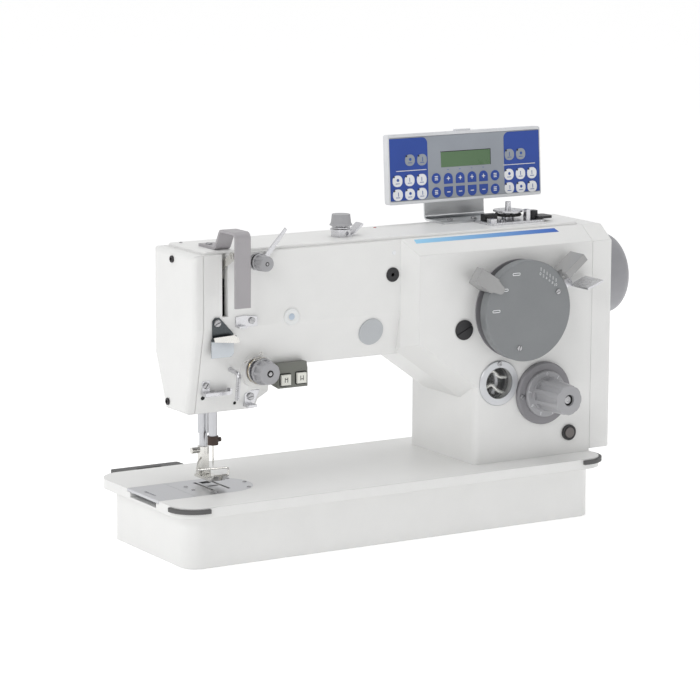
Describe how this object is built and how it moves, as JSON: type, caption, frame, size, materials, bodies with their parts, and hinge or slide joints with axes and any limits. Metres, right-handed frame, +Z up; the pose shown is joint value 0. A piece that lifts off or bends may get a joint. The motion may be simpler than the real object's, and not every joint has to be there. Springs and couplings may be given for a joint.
{
  "type": "leather sewing machine",
  "caption": "Flat-bed zigzag sewing machine head for leather, with handwheel, stitch width disc, stitch length dial and an operating panel on top of the arm.",
  "frame": {"origin": "centre of the bed's flat top surface", "axes": "+X along the arm from the needle towards the handwheel, -Y faces the operator, +Z up"},
  "size_m": [0.542, 0.215, 0.3785],
  "materials": {
    "powder_coat_white": "fine orange-peel powder coat",
    "powder_coat_grey": "satin grey paint",
    "disc_grey": "satin grey paint",
    "handwheel_grey": "satin grey paint",
    "polished_steel": "fine ground",
    "zinc_plate": "bright zinc plated",
    "nickel": "nickel plated",
    "bronze": "sintered bronze",
    "shaft_steel": "ground",
    "lever_grey": "satin moulded",
    "dial_dark": "satin moulded",
    "dial_grey": "satin moulded",
    "dark_plastic": "satin moulded",
    "keypad_grey": "satin moulded",
    "key_cream": "satin moulded",
    "housing_light_grey": "fine texture",
    "grey_rubber": "dull",
    "belt_rubber": "dull",
    "stator_steel": "laminated",
    "cast_alloy": "as cast",
    "dark_brown_steel": "oil blackened",
    "stainless": "brushed"
  },
  "bodies": {
    "machine_head": {"bed_casting": "powder_coat_white", "arm_casting": "powder_coat_white", "face_cover": "powder_coat_white", "top_lid": "powder_coat_white", "end_cover": "powder_coat_white", "rear_cover": "powder_coat_white", "needle_plate": "polished_steel", "take_up_guard": "powder_coat_grey", "disc_hub": "dial_dark", "disc_cover": "disc_grey", "sight_glass_ring": "housing_light_grey", "dial_flange": "dial_dark", "screws": "zinc_plate", "black_plugs": "dark_plastic", "inspection_cover": "housing_light_grey", "upper_thread_guide": "zinc_plate", "thread_guides": "zinc_plate", "tension_posts": "zinc_plate", "keypad_housing": "keypad_grey", "panel_bracket": "stainless", "panel_housing": "housing_light_grey", "winder_base": "zinc_plate", "winder_tension_block": "zinc_plate", "bed_pads": "grey_rubber", "shaft_bushes": "bronze", "motor_stator": "stator_steel", "timing_belt": "belt_rubber"},
    "main_line": {"arm_shaft": "shaft_steel", "handwheel": "handwheel_grey", "upper_pulley": "cast_alloy", "needle_crank": "cast_alloy"},
    "lower_line": {"lower_shaft": "shaft_steel", "lower_pulley": "cast_alloy"},
    "hook_line": {"hook_shaft": "shaft_steel", "rotary_hook": "nickel"},
    "needle_frame": {"needle_bar_frame": "cast_alloy"},
    "needle_line": {"needle_bar": "polished_steel", "needle_clamp": "dark_brown_steel", "needle": "nickel"},
    "presser_line": {"presser_bar": "polished_steel", "presser_shank": "nickel", "finger_guard": "nickel"},
    "foot": {"foot_sole": "nickel"},
    "take_up": {"take_up_lever": "nickel"},
    "lifter": {"hand_lifter": "zinc_plate"},
    "feed": {"feed_dog": "nickel"},
    "slide": {"slide_plate": "polished_steel"},
    "table_hinges": {"hinge_sockets": "grey_rubber"},
    "position_control": {"position_lever": "lever_grey"},
    "width_control": {"width_lever": "lever_grey"},
    "width_limit": {"width_limiter": "zinc_plate"},
    "length_control": {"stitch_dial": "dial_grey"},
    "reverse_button": {"push_button": "dial_grey"},
    "left_button": {"left_key": "key_cream"},
    "right_button": {"right_key": "key_cream"},
    "main_knob": {"main_tension_knob": "dial_grey"},
    "pre_knob": {"pre_tension_knob": "dial_grey"},
    "winder_knob": {"winder_tension_knob": "dial_grey"},
    "winder": {"winder_spindle": "zinc_plate"},
    "winder_stop": {"winder_latch": "dark_plastic"}
  },
  "joints": [
    {"name": "handwheel_turn", "type": "hinge", "parent": "machine_head", "child": "main_line", "pos_m": [0, 0.0015, 0.1677], "axis": [1, 0, 0], "continuous": true},
    {"name": "lower_shaft_turn", "type": "hinge", "parent": "machine_head", "child": "lower_line", "pos_m": [0, 0.03, -0.034], "axis": [1, 0, 0], "continuous": true},
    {"name": "hook_turn", "type": "hinge", "parent": "machine_head", "child": "hook_line", "pos_m": [-0.163, 0, -0.034], "axis": [0, 1, 0], "continuous": true},
    {"name": "needle_swing", "type": "hinge", "parent": "machine_head", "child": "needle_frame", "pos_m": [-0.1555, 0, 0.208], "axis": [0, 1, 0], "range_deg": [-1.3, 1.3]},
    {"name": "needle_bar_slide", "type": "slide", "parent": "needle_frame", "child": "needle_line", "axis": [0, 0, 1], "range_m": [-0.03, 0]},
    {"name": "lifter_turn", "type": "hinge", "parent": "machine_head", "child": "lifter", "pos_m": [-0.15, 0.044, 0.15], "axis": [0, 1, 0], "range_deg": [-29.5, 22.5]},
    {"name": "presser_bar_slide", "type": "slide", "parent": "machine_head", "child": "presser_line", "axis": [0, 0, 1], "range_m": [-0.0052, 0.004]},
    {"name": "foot_tilt", "type": "hinge", "parent": "presser_line", "child": "foot", "pos_m": [-0.163, 0.01, 0.0112], "axis": [1, 0, 0], "range_deg": [-6, 0]},
    {"name": "take_up_swing", "type": "hinge", "parent": "machine_head", "child": "take_up", "pos_m": [-0.1656, -0.006, 0.1975], "axis": [1, 0, 0], "range_deg": [0, 46]},
    {"name": "feed_slide", "type": "slide", "parent": "machine_head", "child": "feed", "axis": [0, 1, 0], "range_m": [-0.0035, 0.0035]},
    {"name": "slide_plate_slide", "type": "slide", "parent": "machine_head", "child": "slide", "axis": [-1, 0, 0], "range_m": [0, 0.06]},
    {"name": "table_hinge_turn", "type": "hinge", "parent": "machine_head", "child": "table_hinges", "pos_m": [0, 0.096, -0.006], "axis": [1, 0, 0], "range_deg": [0, 50]},
    {"name": "needle_position_turn", "type": "hinge", "parent": "machine_head", "child": "position_control", "pos_m": [0.148, 0, 0.1513], "axis": [0, -1, 0], "range_deg": [-33, 29]},
    {"name": "stitch_width_turn", "type": "hinge", "parent": "machine_head", "child": "width_control", "pos_m": [0.148, 0, 0.1513], "axis": [0, -1, 0], "range_deg": [0, 30]},
    {"name": "width_limit_turn", "type": "hinge", "parent": "machine_head", "child": "width_limit", "pos_m": [0.148, 0, 0.1513], "axis": [0, -1, 0], "range_deg": [-20, 4]},
    {"name": "stitch_length_turn", "type": "hinge", "parent": "machine_head", "child": "length_control", "pos_m": [0.1792, -0.08, 0.0646], "axis": [0, -1, 0], "range_deg": [-30, 270]},
    {"name": "reverse_button_press", "type": "slide", "parent": "machine_head", "child": "reverse_button", "axis": [0, 1, 0], "range_m": [0, 0.004], "stiffness_N_per_m": 400},
    {"name": "left_key_press", "type": "slide", "parent": "machine_head", "child": "left_button", "axis": [0, 1, 0], "range_m": [0, 0.002], "stiffness_N_per_m": 400},
    {"name": "right_key_press", "type": "slide", "parent": "machine_head", "child": "right_button", "axis": [0, 1, 0], "range_m": [0, 0.002], "stiffness_N_per_m": 400},
    {"name": "main_tension_turn", "type": "hinge", "parent": "machine_head", "child": "main_knob", "pos_m": [-0.1275, -0.049, 0.1115], "axis": [0, -1, 0], "range_deg": [-180, 180]},
    {"name": "pre_tension_turn", "type": "hinge", "parent": "machine_head", "child": "pre_knob", "pos_m": [-0.132, -0.05, 0.2155], "axis": [0, -1, 0], "range_deg": [-180, 180]},
    {"name": "winder_tension_turn", "type": "hinge", "parent": "machine_head", "child": "winder_knob", "pos_m": [-0.0227, -0.008, 0.243], "axis": [0, 0, 1], "range_deg": [-180, 180]},
    {"name": "winder_spindle_turn", "type": "hinge", "parent": "machine_head", "child": "winder", "pos_m": [0.1782, 0.005, 0.236], "axis": [0, 0, 1], "continuous": true},
    {"name": "winder_latch_turn", "type": "hinge", "parent": "machine_head", "child": "winder_stop", "pos_m": [0.198, -0.009, 0.234], "axis": [0, 0, 1], "range_deg": [-15, 15]}
  ],
  "couplings": [
    {"joint": "lower_shaft_turn", "follows": "handwheel_turn", "ratio": 2},
    {"joint": "hook_turn", "follows": "handwheel_turn", "ratio": 2},
    {"joint": "presser_bar_slide", "follows": "lifter_turn", "m_per_rad": 0.01}
  ]
}
